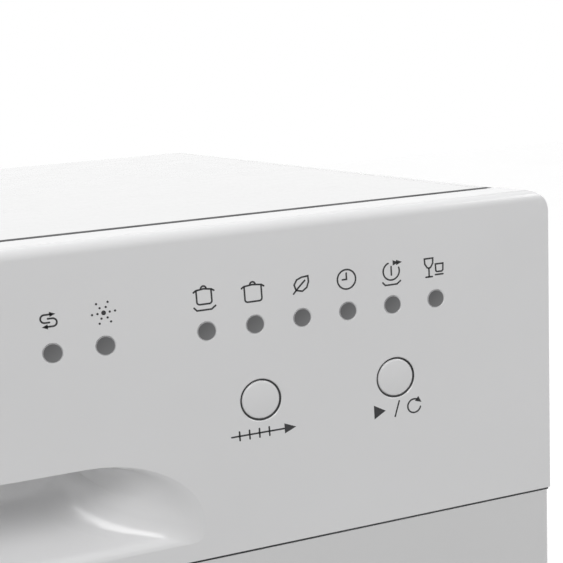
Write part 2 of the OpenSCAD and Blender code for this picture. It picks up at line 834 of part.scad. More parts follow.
module inlet_valve() {
    y1 = back_y - 1;
    color(dark_plastic) difference() {
        union() {
            rod_y(back_panel_y - 3, y1, inlet_x, inlet_z, inlet_d);
            along_y(back_panel_y - 6, back_panel_y - touch)
                round_rect([inlet_x - 24, inlet_x + 24], [inlet_z - 20, inlet_z + 20], 5);
            block([inlet_x - 14, inlet_x + 14], [back_panel_y - 20, back_panel_y - 5.5],
                [inlet_z - 14, inlet_z + 14]);
            block([inlet_x - 10, inlet_x + 10], [back_panel_y - 19, back_panel_y - 7],
                [tray_floor, inlet_z - 13]);
        }
        rod_y(back_panel_y + 1, y1 + 1, inlet_x, inlet_z, inlet_d - 7);
    }
}

module drain_outlet() {
    color(grey_plastic) difference() {
        union() {
            rod_y(back_panel_y - 3, back_y - 1, drain_x, inlet_z, drain_d);
            along_y(back_panel_y - 6, back_panel_y - touch)
                round_rect([drain_x - 22, drain_x + 22], [inlet_z - 18, inlet_z + 18], 5);
            rod_y(back_panel_y - 19, back_panel_y - 5.5, drain_x, inlet_z, drain_d + 3);
        }
        rod_y(back_panel_y - 16, back_y, drain_x, inlet_z, drain_d - 5);
    }
}

module cord_gland() {
    color(dark_plastic) difference() {
        union() {
            rod_y(back_panel_y - 4, back_panel_y + sheet + 3, gland_x, inlet_z, gland_d - 0.4);
            rod_y(back_panel_y + sheet, back_panel_y + sheet + 3, gland_x, inlet_z, gland_d + 5);
        }
        rod_y(back_panel_y - 5, back_y, gland_x, inlet_z, 8);
    }
}

// Flat moulding between the tub and the left side panel, with its labyrinth ribs
module air_break() {
    x0 = -half_w + sheet + 3;
    x1 = -tub_half - touch;
    z0 = tub_floor + 46;
    z1 = tub_top - 96;
    color(grey_plastic) {
        along_x(x1 - 26, x1) difference() {
            round_rect([-70, 130], [z0, z1], 16);
            round_rect([-66, 30], [z0 + 90, z1 - 4], 12);
        }
        along_x(x1 - 22, x1) round_rect([-67, 31], [z0 + 89, z1 - 3], 12);
        along_x(x1 - 26, x1 - 4) {
            square_between([-36, -33], [z0 + 86, z1 - 30]);
            square_between([-4, -1], [z0 + 116, z1 - 1]);
        }
        along_x(x0, x1 - 25) translate([90, z0 + 40]) circle(12);
        vent_cap(x1);
    }
}

// Stub through the tub's wall with a slotted cap inside the tub
module vent_cap(x1) {
    face = tub_wall - tub_half;
    rod_x(x1 - 1, face + 2, vent_y, vent_z, vent_d);
    difference() {
        union() {
            rod_x(face + touch, face + 3, vent_y, vent_z, vent_d + 14);
            rod_x(face + 2, face + 5, vent_y, vent_z, vent_d + 6);
        }
        for (i = [-2 : 2])
            block([face + 3.4, face + 6], [vent_y - 11, vent_y + 11],
                [vent_z + 5 * i - 1.2, vent_z + 5 * i + 1.2]);
    }
}

module pressure_switch() {
    x0 = tub_half + touch;
    z = tub_floor + 86;
    color(dark_plastic) {
        rod_x(x0, x0 + 16, -60, z, 46);
        rod_x(x0 + 15, x0 + 24, -60, z, 30);
        rod_z(z - 60, z - 20, x0 + 8, -60, 7);
    }
}

module power_module() {
    x0 = tub_half + touch;
    x1 = half_w - sheet - module_gap;
    z0 = tub_floor + 56;
    z1 = tub_top - 126;
    color(dark_plastic) difference() {
        along_x(x0, x1) round_rect([0, 150], [z0, z1], 6);
        along_x(x1 - 6, x1 + 1) round_rect([8, 142], [z0 + 8, z1 - 8], 4);
        for (i = [0 : 7]) block([x0 - 1, x1 + 1], [20 + 15 * i, 26 + 15 * i], [z0 + 14, z0 + 30]);
    }
}

// Console
// Face of the console, from below the seam by the length down
module console_front(inset, down = 0) {
    r = console_corner_r - inset;
    x = half_w - inset;
    z1 = body_h - inset;
    square_between([-x, x], [seam_z + (down > 0 ? -down : inset), z1 - r]);
    square_between([-x + r, x - r], [z1 - r - 1, z1]);
    for (sx = [-1, 1]) translate([sx * (x - r), z1 - r]) circle(r);
}

module console_side(inset) {
    r = console_r - inset;
    y = front_y + inset;
    z1 = body_h - inset;
    square_between([y, door_back_y], [seam_z, z1 - r]);
    square_between([y + r, door_back_y], [z1 - r - 1, z1]);
    translate([y + r, z1 - r]) circle(r);
}

module console_solid(inset) {
    intersection() {
        along_y(front_y, door_back_y) console_front(inset);
        along_x(-half_w, half_w) console_side(inset);
    }
}

// Half width, lower edge and upper edge of the scoop at a share t of its depth: its ends leave the
// face almost flush and steepen inwards, and its floor rises into the back
function scoop_half(t) = recess_w / 2 - recess_ramp * pow(t, 0.62) - (t == 1 ? 3 : 0);
function scoop_bottom(t) =
    lip_z - recess_h + recess_round * pow(min(t / 0.1, 1), 0.5) + 14 * pow(t, 2.2) + (t == 1 ? 2 : 0);
function scoop_top(t) = lip_z + 7 * t - (t == 1 ? 2 : 0);

// Height of the upper corners, how far the lower corners draw in below them, and their width and height
function scoop_corner(t) = min(recess_r, (scoop_top(t) - scoop_bottom(t)) * 0.8) * (1 - 0.35 * pow(t, 0.7));
function scoop_heel(t) = 3 * pow(t, 0.6);
function scoop_low(t) =
    [5 + 10 * pow(t, 0.6),
        min(5 + 6 * pow(t, 0.6), (scoop_top(t) - scoop_corner(t) - scoop_bottom(t)) * 0.8)];

// Outline of the scoop, grown by a wall: wide round upper corners over tighter lower ones
function scoop_ring(t, y, grow) =
    let (r = scoop_corner(t), wide = r * 1.5, low = scoop_low(t), x = scoop_half(t),
        heel = x - scoop_heel(t), z0 = scoop_bottom(t), z1 = scoop_top(t))
        [for (c = [[x - wide, z1 - r, wide, r, 0, 7.5], [wide - x, z1 - r, wide, r, 90, 7.5],
                [low[0] - heel, z0 + low[1], low[0], low[1], 180, 15],
                [heel - low[0], z0 + low[1], low[0], low[1], 270, 15]],
                a = [c[4] : c[5] : c[4] + 90])
            [c[0] + (c[2] + grow) * cos(a), y, c[1] + (c[3] + grow) * sin(a)]];

module scoop(grow, shares) {
    loft(concat([scoop_ring(0, front_y - (grow > 0 ? -eps : 1), grow)],
        [for (t = shares) scoop_ring(t, front_y + recess_depth * t + grow + eps, grow)]));
}

// Bevel round a hole in the console's face
module hole_edge(x, z, d, edge) {
    translate([x, front_y - eps, z]) rotate([-90, 0, 0]) cylinder(h = edge, d1 = d + 2 * edge, d2 = d);
}

module console() {
    wall = console_wall;
    color(white) difference() {
        union() {
            difference() {
                console_solid(0);
                intersection() {
                    console_solid(wall);
                    block([-half_w, half_w], [front_y, back_y], [seam_z + wall, body_h]);
                }
                along_y(door_back_y - 3, door_back_y + 1) console_front(wall, 1);
            }
            scoop(2, [0, 0.06, 0.2, 0.5, 1]);
            for (x = [program_x, start_x, power_x])
                rod_y(front_y + wall - eps, board_y, x, button_z, button_d + 2 * button_gap + 3);
            for (p = led_places)
                rod_y(front_y + wall - eps, board_y, led_x(p), led_z, led_d + 3);
        }
        scoop(0, [0, 0.01, 0.03, 0.06, 0.1, 0.18, 0.3, 0.45, 0.6, 0.75, 0.88, 0.96, 1]);
        for (x = [program_x, start_x, power_x]) {
            rod_y(front_y - 1, board_y + 1, x, button_z, button_d + 2 * button_gap);
            hole_edge(x, button_z, button_d + 2 * button_gap, 0.5);
        }
        for (p = led_places) {
            rod_y(front_y - 1, board_y + 1, led_x(p), led_z, led_d + 0.1);
            hole_edge(led_x(p), led_z, led_d + 0.1, 0.3);
        }
    }
}

// Round cap with a rounded rim, and the stem that reaches for its switch
module push_button(x) {
    rim = 0.7;
    r = button_d / 2;
    color(white) {
        translate([x, front_y, button_z]) rotate([-90, 0, 0]) rotate_extrude()
            polygon([[0, 0], for (a = [0 : 22.5 : 90]) [r - rim + rim * sin(a), rim - rim * cos(a)],
                [r, 7], [0, 7]]);
        rod_y(front_y + 6, board_y - button_travel - touch, x, button_z, 6);
    }
}

module power_button() { push_button(power_x); }

module program_button() { push_button(program_x); }

module start_button() { push_button(start_x); }

module indicator_lenses() {
    color([0.35, 0.35, 0.36]) for (p = led_places)
        rod_y(front_y, board_y - touch, led_x(p), led_z, led_d);
}

module control_board() {
    color([0.16, 0.4, 0.24]) {
        along_y(board_y, board_y + 1.6) difference() {
            square_between([-half_w + 30, half_w - 26], [button_z - 6, led_z + 11]);
            square_between([-latch_half - 2, latch_half + 2], [latch_z - 3, body_h]);
        }
        for (x = [program_x, start_x, power_x])
            block([x - 3, x + 3], [board_y + 1.5, board_y + 4], [button_z - 3, button_z + 3]);
        block([-60, -20], [board_y + 1.5, board_y + 5], [button_z + 3, latch_z - 4]);
    }
}

// Door
module door_panel() {
    top = seam_z - seam_gap;
    color(white) difference() {
        along_z(door_bottom, top) round_front(0);
        along_z(door_bottom + sheet, top - sheet) round_front(sheet);
        block([-half_w + 14, half_w - 14], [front_y + 8, door_back_y + 1], [top - 3, top + 1]);
        block([-half_w + sheet, half_w - sheet], [door_back_y - 2, door_back_y + 1], [top - 3, top + 1]);
        mirror_pair() block([hinge_x - 4.5, hinge_x + 9], [hinge_y - 13, door_back_y + 1],
            [door_bottom - 1, door_bottom + 3]);
    }
}

// Plan of the door: square at the back, small radius at the front corners
module round_front(inset) {
    r = 3 - inset;
    x = half_w - inset;
    y = front_y + inset;
    square_between([-x, x], [y + r, door_back_y + (inset > 0 ? 1 : 0)]);
    square_between([-x + r, x - r], [y, y + r + 1]);
    for (sx = [-1, 1]) translate([sx * (x - r), y + r]) circle(r);
}

// Inner door: a flat flange with a drafted raised field, the dispenser's cut-out and the latch slot
module inner_door() {
    s = sheet;
    y0 = door_back_y - 0.5 - s;
    color(steel) difference() {
        union() {
            along_y(y0, y0 + s) console_front(console_wall + touch, seam_z - door_bottom - s - touch);
            liner_block(0);
        }
        liner_block(s);
        along_y(liner_y - 5, liner_y + 1)
            square_between([dispenser_x - dispenser_w / 2, dispenser_x + dispenser_w / 2],
                [dispenser_z - dispenser_h / 2, dispenser_z + dispenser_h / 2]);
        block([-11, 11], [y0 - 1, y0 + s + 1], [striker_z - 5, striker_z + 9]);
        mirror_pair() block([hinge_x - 4.5, hinge_x + 9], [y0 - 1, y0 + s + 1], [door_bottom, hinge_h + 9]);
        for (z = [seam_z - 60, liner_bottom + 125, liner_bottom + 45])
            along_y(liner_y - 0.5, liner_y + 1) square_between([-liner_half + 40, -60], [z, z + 1.5]);
    }
}

module liner_block(s) {
    y0 = door_back_y - 1.5 - (s > 0 ? 1 : 0);
    hull() {
        along_y(y0, y0 + 1) liner_outline(door_back_y, -s);
        along_y(liner_y - 4 - s, liner_y - 3.9 - s) liner_outline(liner_y - 4, -s);
        along_y(liner_y - 0.1 - s, liner_y - s) liner_outline(liner_y, -s - 4);
    }
}

module sill_seal() {
    color(rubber) along_x(ledge_w + 3 - tub_half, tub_half - ledge_w - 3)
        polygon([[door_back_y - 0.5, liner_bottom - 9], [door_back_y + 2, liner_bottom - 9],
            [door_back_y + 7, liner_bottom - 4.5], [door_back_y + 7, liner_bottom - 2.5],
            [door_back_y + 1, liner_bottom - 5], [door_back_y - 0.5, liner_bottom - 5]]);
}

module dispenser_body() {
    x0 = dispenser_x - dispenser_w / 2;
    x1 = dispenser_x + dispenser_w / 2;
    z0 = dispenser_z - dispenser_h / 2;
    z1 = dispenser_z + dispenser_h / 2;
    color(grey_plastic) difference() {
        union() {
            along_y(liner_y - dispenser_depth, liner_y + eps)
                square_between([x0 + touch, x1 - touch], [z0 + touch, z1 - touch]);
            along_y(liner_y, dispenser_y) round_rect([x0 - 4, x1 + 4], [z0 - 4, z1 + 4], 6);
            rod_y(dispenser_y - eps, dispenser_y + 1.5, rinse_x, rinse_z, rinse_d + 2);
            for (sx = [-1, 1])
                along_x(lid_x + sx * (lid_w / 2 + 2) - 1.6, lid_x + sx * (lid_w / 2 + 2) + 1.6)
                    hull() {
                        translate([lid_hinge_y, lid_hinge_z]) circle(2.2, $fn = 32);
                        translate([dispenser_y, lid_hinge_z]) square([0.2, 6], center = true);
                    }
        }
        along_y(liner_y - dispenser_depth + 2, dispenser_y + 1)
            round_rect([lid_x - lid_w / 2 + 5, lid_x + lid_w / 2 - 5],
                [lid_hinge_z + 6, lid_hinge_z + lid_h - 5], 8);
        rod_y(liner_y - dispenser_depth + 2, dispenser_y + 3, rinse_x, rinse_z, rinse_d - 9);
        rod_x(lid_x - lid_w / 2 - 3, lid_x + lid_w / 2 + 3, lid_hinge_y, lid_hinge_z, 2.12);
    }
}

// Lid with a hinge barrel at its lower edge and a raised thumb latch at its upper one
module detergent_lid() {
    y0 = dispenser_y + touch;
    color([0.86, 0.87, 0.89]) {
        along_y(y0 + 0.6, y0 + 3)
            round_rect([lid_x - lid_w / 2 + 0.5, lid_x + lid_w / 2 - 0.5],
                [lid_hinge_z + 1, lid_hinge_z + lid_h], 5);
        rod_x(lid_x - lid_w / 2 + 1, lid_x + lid_w / 2 - 1, lid_hinge_y, lid_hinge_z, 4);
        rod_x(lid_x - lid_w / 2 - 2.5, lid_x + lid_w / 2 + 2.5, lid_hinge_y, lid_hinge_z, 2);
        along_y(y0 + 2, y0 + 5.5)
            round_rect([lid_x - 12, lid_x + 12], [lid_hinge_z + lid_h - 12, lid_hinge_z + lid_h - 3], 3);
    }
}

module rinse_aid_cap() {
    y0 = dispenser_y + 1.5 + touch;
    color(dark_plastic) {
        rod_y(y0, y0 + 4, rinse_x, rinse_z, rinse_d);
        rod_y(y0 - 8, y0 + 1, rinse_x, rinse_z, rinse_d - 10);
        translate([rinse_x, 0, rinse_z]) along_y(y0 + 3, y0 + 8)
            round_rect([-rinse_d / 2 + 3, rinse_d / 2 - 3], [-2.5, 2.5], 2.4);
    }
}

module door_latch() {
    y0 = front_y + console_wall + touch;
    y1 = door_back_y - 1.5 - touch;
    z0 = latch_z;
    z1 = body_h - console_wall - 0.8;
    color(dark_plastic) difference() {
        block([-latch_half, latch_half], [y0 + 2, y1], [z0, z1]);
        block([-9.5, 9.5], [y0 + 4, y1 + 1], [striker_z - 4, striker_z + 7]);
        block([-16, 16], [y0 + 4, y1 - 2], [z0 + 3, striker_z - 6]);
    }
}

// Rack: one wire basket, cut into its floor, its sides and its ends, which meet face to face
module rack_wires() {
    w = rack_half - frame_wire / 2;
    y0 = rack_front + frame_wire / 2;
    y1 = rack_back - frame_wire / 2;
    low = y0 + rack_skew;
    rack_loop(w, y0, y1, rim_z, frame_wire);
    rack_loop(w + 0.6, y0 + rack_skew * 0.5 - 0.6, y1 + 0.6, rack_z + rack_wall_h * 0.45, grid_wire);
    for (i = [0 : 8]) {
        x = -w + 12 + i * (2 * w - 24) / 8;
        wire_path([[x, y0 + 1, rim_z], [x, low, rack_z], [x, y1, rack_z], [x, y1, rim_z]], grid_wire);
    }
    for (i = [0 : 6]) {
        y = side_wire_y(i);
        z = rack_z + grid_wire * 0.8;
        wire_path([[-w, y, rim_z], [-w, y, z], [w, y, z], [w, y, rim_z]], grid_wire);
    }
}

// Space of the basket between two heights, within its corners
module rack_middle(z) {
    block([-rack_corner_x, rack_corner_x], [rack_front - 5, rack_back + 5], z);
}

module rack_floor() {
    color(rack_grey) intersection() {
        rack_wires();
        rack_middle([rack_z - 5, rack_z + 6]);
    }
}

module rack_ends() {
    color(rack_grey) intersection() {
        rack_wires();
        rack_middle([rack_z + 6, rim_z + 5]);
    }
}

module rack_side(sx) {
    color(rack_grey) {
        intersection() {
            rack_wires();
            scale([sx, 1, 1]) block([rack_corner_x, rack_half + 5], [rack_front - 5, rack_back + 5],
                [rack_z - 5, rim_z + 5]);
        }
        for (y = [wheel_front_y, wheel_back_y]) wheel_bracket(sx, y, rack_half - frame_wire / 2);
    }
}

module rack_side_left() {
    rack_side(-1);
    color(rack_grey) shelf_axle();
}

module rack_side_right() { rack_side(1); }

module rack_loop(w, y0, y1, z, d) {
    r = 16;
    pts = [[-w + r, y0, z], [w - r, y0, z], [w, y0 + r, z], [w, y1 - r, z], [w - r, y1, z],
        [-w + r, y1, z], [-w, y1 - r, z], [-w, y0 + r, z], [-w + r, y0, z]];
    wire_path(pts, d);
}

// Plate welded to the side wires, with the wheel's axle
module wheel_bracket(sx, y, w) {
    x1 = wheel_x - wheel_w / 2 - 1;
    scale([sx, 1, 1]) {
        along_x(x1 - 1, x1) hull() {
            translate([y, wheel_z]) circle(6, $fn = 32);
            translate([y - 9, rack_z + 6]) square([18, 12]);
        }
        block([w - 1, x1 - 0.5], [y - 9, y + 9], [rack_z + 6, rack_z + 9]);
        rod_x(x1 - 0.5, wheel_x + wheel_w / 2 + 0.6, y, wheel_z, 2 * axle_r);
        rod_x(wheel_x + wheel_w / 2 + 0.5, wheel_x + wheel_w / 2 + 2, y, wheel_z, 2 * axle_r + 3);
    }
}

module shelf_axle() {
    x = shelf_axle_x;
    for (y = [shelf_y - 8, shelf_y + shelf_l + 8]) wire([x, y, rim_z - 2], [x, y, shelf_z], frame_wire);
    rod_y(shelf_y - 9.5, shelf_y + shelf_l + 9.5, x, shelf_z, frame_wire, 24);
}

// Two rows of upright loops on cross wires
module plate_tines() {
    base = rack_z + grid_wire + 0.2;
    count = floor((rack_w - 190) / tine_pitch);
    color(rack_grey) for (row = [0, 1]) {
        y = side_wire_y(2 + 2 * row) + 8;
        x0 = -rack_half + 34;
        wire([x0 - 6, y, base], [x0 + count * tine_pitch + 6, y, base], grid_wire);
        for (i = [0 : count])
            wire_path([[x0 + i * tine_pitch, y, base], [x0 + i * tine_pitch, y + 8, base + tine_h * 0.9],
                [x0 + i * tine_pitch, y + 14, base + tine_h]], grid_wire);
    }
}

module rack_handle() {
    y0 = rack_front - 3.5;
    w = frame_wire;
    color(grey_plastic) difference() {
        along_y(y0, y0 + 9 + w) round_rect([-50, 50], [rim_z - 14, rim_z + 16], 8);
        along_y(y0 - 1, y0 + 12 + w) round_rect([-40, 40], [rim_z + w / 2 + 2, rim_z + 12], 3);
        block([-60, 60], [y0 + 3.2, y0 + 12 + w], [rim_z - 20, rim_z + w / 2 + touch]);
    }
}

module rack_wheel(sx, y) {
    color(grey_plastic) translate([sx * wheel_x, y, wheel_z]) rotate([0, 90, 0])
        difference() {
            rotate_extrude() polygon([[axle_r + 0.08, -wheel_w / 2], [axle_r + 3, -wheel_w / 2],
                [axle_r + 3, -wheel_w / 2 + 2], [wheel_r - 3, -wheel_w / 2 + 2], [wheel_r - 2, -wheel_w / 2],
                [wheel_r - 1, -wheel_w / 2], [wheel_r, -wheel_w / 2 + 1], [wheel_r, wheel_w / 2 - 1],
                [wheel_r - 1, wheel_w / 2], [wheel_r - 2, wheel_w / 2], [wheel_r - 3, wheel_w / 2 - 2],
                [axle_r + 3, wheel_w / 2 - 2], [axle_r + 3, wheel_w / 2], [axle_r + 0.08, wheel_w / 2]]);
            for (a = [0 : 72 : 288])
                rotate([0, 0, a]) translate([(axle_r + wheel_r) / 2, 0, -wheel_w])
                    cylinder(h = 2 * wheel_w, d = 4.4);
        }
}

module wheel_front_left() { rack_wheel(-1, wheel_front_y); }

module wheel_front_right() { rack_wheel(1, wheel_front_y); }

module wheel_back_left() { rack_wheel(-1, wheel_back_y); }

module wheel_back_right() { rack_wheel(1, wheel_back_y); }

// Wire shelf for cups, on two eyes that turn on the rack's axle wire
module cup_shelf() {
    x = shelf_axle_x;
    y0 = shelf_y + 6;
    y1 = shelf_y + shelf_l - 6;
    z = shelf_z + frame_wire;
    color(rack_grey) {
        for (y = [y0 + 10, y1 - 10]) difference() {
            union() {
                rod_y(y - 6, y + 6, x, shelf_z, frame_wire + 4);
                block([x, x + 10], [y - 6, y + 6], [shelf_z + frame_wire / 2 + 0.5, z]);
            }
            rod_y(y - 7, y + 7, x, shelf_z, frame_wire + 0.16);
        }
        wire_path([[x + 8, y0, z], [x + shelf_w, y0, z], [x + shelf_w, y1, z], [x + 8, y1, z],
            [x + 8, y0, z]], grid_wire);
        for (i = [1 : 9])
            translate([0, y0 + i * (y1 - y0) / 10, z])
                wire([x + 8, 0, 0], [x + shelf_w, 0, 0], grid_wire * 0.8);
    }
}

// Moulded cutlery basket with slotted walls, two compartments and a carrying bar
module cutlery_basket() {
    x = [rack_half - 14 - cutlery_w, rack_half - 14];
    y = [rack_front + 195 - cutlery_l / 2, rack_front + 195 + cutlery_l / 2];
    z = [rack_z + grid_wire * 1.3 + touch, rim_z + 8];
    t = 2;
    color(grey_plastic) {
        difference() {
            along_z(z[0], z[1]) round_rect(x, y, 8);
            along_z(z[0] + t, z[1] + 1) round_rect([x[0] + t, x[1] - t], [y[0] + t, y[1] - t], 6);
            for (i = [0 : 13], h = [z[0] + 10, z[0] + 48])
                block([x[0] - 1, x[1] + 1], [y[0] + 14 + 12 * i, y[0] + 20 + 12 * i], [h, h + 30]);
            for (i = [0 : 3], h = [z[0] + 10, z[0] + 48])
                block([x[0] + 12 + 13 * i, x[0] + 19 + 13 * i], [y[0] - 1, y[1] + 1], [h, h + 30]);
            for (i = [0 : 12])
                block([x[0] + 10, x[1] - 10], [y[0] + 21.5 + 12 * i, y[0] + 24.5 + 12 * i], [z[0] - 1, z[0] + 5]);
        }
        block([x[0] + 1, x[1] - 1], [(y[0] + y[1]) / 2 - 1, (y[0] + y[1]) / 2 + 1], [z[0] + 1, z[1] - 4]);
        block([(x[0] + x[1]) / 2 - 1, (x[0] + x[1]) / 2 + 1], [y[0] + 1, y[1] - 1], [z[0] + 1, z[1] - 2]);
        translate([(x[0] + x[1]) / 2, 0, 0]) along_x(-4, 4) difference() {
            round_rect([y[0] + 50, y[1] - 50], [z[1] - 14, z[1] + 14], 10);
            round_rect([y[0] + 56, y[1] - 56], [z[1] - 20, z[1] + 8], 6);
        }
    }
}

base_tray();
kick_plate();
side_panel_left();
side_panel_right();
top_cover();
back_panel();
foot_front_left();
foot_front_right();
foot_back_left();
foot_back_right();
tub();
front_frame();
tub_seal();
door_striker();
hinge_bracket_left();
hinge_bracket_right();
sump();
filter_plate();
filter_cup();
spray_hub();
spray_arm();
wash_pump();
drain_pump();
water_heater();
softener();
salt_cap();
inlet_valve();
drain_outlet();
air_break();
pressure_switch();
power_module();
cord_gland();
panel_screws();
console();
control_board();
indicator_lenses();
power_button();
program_button();
start_button();
door_panel();
inner_door();
sill_seal();
hinge_arm_left();
hinge_arm_right();
dispenser_body();
detergent_lid();
rinse_aid_cap();
door_latch();
rack_floor();
rack_side_left();
rack_side_right();
rack_ends();
plate_tines();
rack_handle();
wheel_front_left();
wheel_front_right();
wheel_back_left();
wheel_back_right();
cup_shelf();
cutlery_basket();
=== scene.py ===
import json
import math

import bmesh
import bpy
from mathutils import Matrix, Vector


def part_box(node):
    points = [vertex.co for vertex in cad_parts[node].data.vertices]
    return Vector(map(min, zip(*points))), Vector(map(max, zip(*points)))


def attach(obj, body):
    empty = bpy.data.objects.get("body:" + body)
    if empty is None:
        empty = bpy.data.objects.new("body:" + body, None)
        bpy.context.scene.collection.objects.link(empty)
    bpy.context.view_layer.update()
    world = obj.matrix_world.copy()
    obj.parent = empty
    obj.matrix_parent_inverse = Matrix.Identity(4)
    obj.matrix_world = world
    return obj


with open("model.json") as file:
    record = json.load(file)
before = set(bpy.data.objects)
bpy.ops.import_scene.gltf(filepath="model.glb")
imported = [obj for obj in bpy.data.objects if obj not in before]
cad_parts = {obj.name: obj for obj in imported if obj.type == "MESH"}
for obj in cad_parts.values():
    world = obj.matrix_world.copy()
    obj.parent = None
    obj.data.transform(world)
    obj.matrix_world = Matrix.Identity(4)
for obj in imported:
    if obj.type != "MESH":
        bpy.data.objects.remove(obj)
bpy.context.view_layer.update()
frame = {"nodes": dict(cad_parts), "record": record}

# Looks of a countertop dishwasher, seen close to the upper right corner of its console.
# Lengths are in metres, unless a name ends in _MM or a docstring says mm.
MM = 0.001

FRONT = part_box("console")[0].y
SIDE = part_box("console")[1].x
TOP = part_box("console")[1].z
LENS_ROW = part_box("indicator_lenses")
LENS_Z = (LENS_ROW[0].z + LENS_ROW[1].z) / 2
LENS_D = LENS_ROW[1].z - LENS_ROW[0].z
LENS_LAST_X = LENS_ROW[1].x - LENS_D / 2
LENS_PITCH = (LENS_LAST_X - LENS_ROW[0].x - LENS_D / 2) / 8


# Camera, at the photograph's viewing angle

CAMERA_PLACE = (0.0678, -0.561, 0.4764)
CAMERA_YAW, CAMERA_PITCH, CAMERA_ROLL = 17.35, -13.37, -4.30
FOCAL_PX, PHOTO_PX = 1016.75, 563
CENTRE_PX = (260.0, 340.0)
SENSOR_MM = 36.0


def make_camera():
    """A camera with the photograph's place, turn, focal length and shift."""
    yaw, pitch, roll = (math.radians(a) for a in (CAMERA_YAW, CAMERA_PITCH, CAMERA_ROLL))
    ahead = Vector((math.sin(yaw) * math.cos(pitch), math.cos(yaw) * math.cos(pitch), math.sin(pitch)))
    level = Vector((math.cos(yaw), -math.sin(yaw), 0))
    upright = level.cross(ahead)
    right = level * math.cos(roll) + upright * math.sin(roll)
    up = right.cross(ahead)
    turn = Matrix((right, up, -ahead)).transposed().to_4x4()
    data = bpy.data.cameras.new("camera")
    data.sensor_width = SENSOR_MM
    data.lens = FOCAL_PX * SENSOR_MM / PHOTO_PX
    data.shift_x = (PHOTO_PX / 2 - CENTRE_PX[0]) / PHOTO_PX
    data.shift_y = (CENTRE_PX[1] - PHOTO_PX / 2) / PHOTO_PX
    data.clip_start, data.clip_end = 0.02, 50
    camera = bpy.data.objects.new("camera", data)
    camera.matrix_world = Matrix.Translation(CAMERA_PLACE) @ turn
    bpy.context.scene.collection.objects.link(camera)
    bpy.context.scene.camera = camera


# Node helpers


class Shader:
    """A material with a Principled shader, its object coordinates, and short calls that add nodes."""

    def __init__(self, name, **sockets):
        self.material = bpy.data.materials.new(name)
        self.material.use_nodes = True
        self.tree = self.material.node_tree
        self.bsdf = self.tree.nodes["Principled BSDF"]
        self.place = self.tree.nodes.new("ShaderNodeTexCoord").outputs["Object"]
        for socket, value in sockets.items():
            self.bsdf.inputs[socket.replace("_", " ")].default_value = value

    def node(self, kind, **values):
        made = self.tree.nodes.new("ShaderNode" + kind)
        for key, value in values.items():
            setattr(made, key, value)
        return made

    def link(self, output, target):
        self.tree.links.new(output, target)

    def stretched(self, scale):
        """Object coordinates, scaled along each axis."""
        mapping = self.node("Mapping")
        mapping.inputs["Scale"].default_value = scale
        self.link(self.place, mapping.inputs["Vector"])
        return mapping.outputs["Vector"]

    def noise(self, scale, detail=3.0, roughness=0.5, place=None):
        made = self.node("TexNoise")
        made.inputs["Scale"].default_value = scale
        made.inputs["Detail"].default_value = detail
        made.inputs["Roughness"].default_value = roughness
        self.link(place or self.place, made.inputs["Vector"])
        return made.outputs["Fac"]

    def ramp(self, value, low, high, start=0.35, end=0.65):
        """A colour or a grey level from low to high, as value goes from start to end."""
        made = self.node("ValToRGB")
        stops = made.color_ramp.elements
        stops[0].position, stops[1].position = start, end
        for stop, level in zip(stops, (low, high)):
            stop.color = (*level, 1) if isinstance(level, tuple) else (level, level, level, 1)
        self.link(value, made.inputs["Fac"])
        return made.outputs["Color"]

    def sum(self, value, amount):
        made = self.node("Math", operation="ADD")
        self.link(value, made.inputs[0])
        made.inputs[1].default_value = amount
        return made.outputs["Value"]

    def colour(self, value):
        self.link(value, self.bsdf.inputs["Base Color"])

    def roughness(self, value):
        self.link(value, self.bsdf.inputs["Roughness"])

    def bump(self, height, strength, distance):
        """Bump from a height, on top of any bump that the shader has."""
        made = self.node("Bump")
        made.inputs["Strength"].default_value = strength
        made.inputs["Distance"].default_value = distance
        self.link(height, made.inputs["Height"])
        before = self.bsdf.inputs["Normal"].links
        if before:
            self.link(before[0].from_socket, made.inputs["Normal"])
        self.link(made.outputs["Normal"], self.bsdf.inputs["Normal"])


def shade(colour, amount):
    """A colour made lighter or darker by a share."""
    return tuple(c * (1 + amount) for c in colour)


# Materials

WHITE_PAINT = (0.722, 0.722, 0.724)
WHITE_MOULDED = (0.80, 0.80, 0.805)
# Colour of the painted highlight round each lens's rim
LENS_RIM_HIGHLIGHT_COLOUR = (0.62, 0.62, 0.63, 1)
# Where the painted highlight round the rim of a lens starts and ends, as shares of its diameter from its centre
LENS_RIM_HIGHLIGHT = (0.475, 0.5)


def white_enamel():
    """Baked gloss enamel on steel sheet, with the faint ripple of sprayed paint."""
    s = Shader("white_enamel", Roughness=0.16, Specular_IOR_Level=0.5, Coat_Weight=0.3, Coat_Roughness=0.06)
    s.colour(s.ramp(s.noise(9, 4), shade(WHITE_PAINT, -0.012), shade(WHITE_PAINT, 0.012)))
    s.roughness(s.ramp(s.noise(60, 5), 0.13, 0.2))
    s.bump(s.noise(420, 2), 0.05, 0.0002)
    return s.material


def white_plastic():
    """Glossy injection moulding, with flow lines too faint to see but in its gloss."""
    s = Shader("white_plastic", Roughness=0.22, Specular_IOR_Level=0.5, Coat_Weight=0.15, Coat_Roughness=0.1)
    s.colour(s.ramp(s.noise(14, 4), shade(WHITE_MOULDED, -0.01), shade(WHITE_MOULDED, 0.01)))
    s.roughness(s.ramp(s.noise(90, 6), 0.19, 0.26))
    s.bump(s.noise(1500, 2), 0.06, 0.0001)
    return s.material


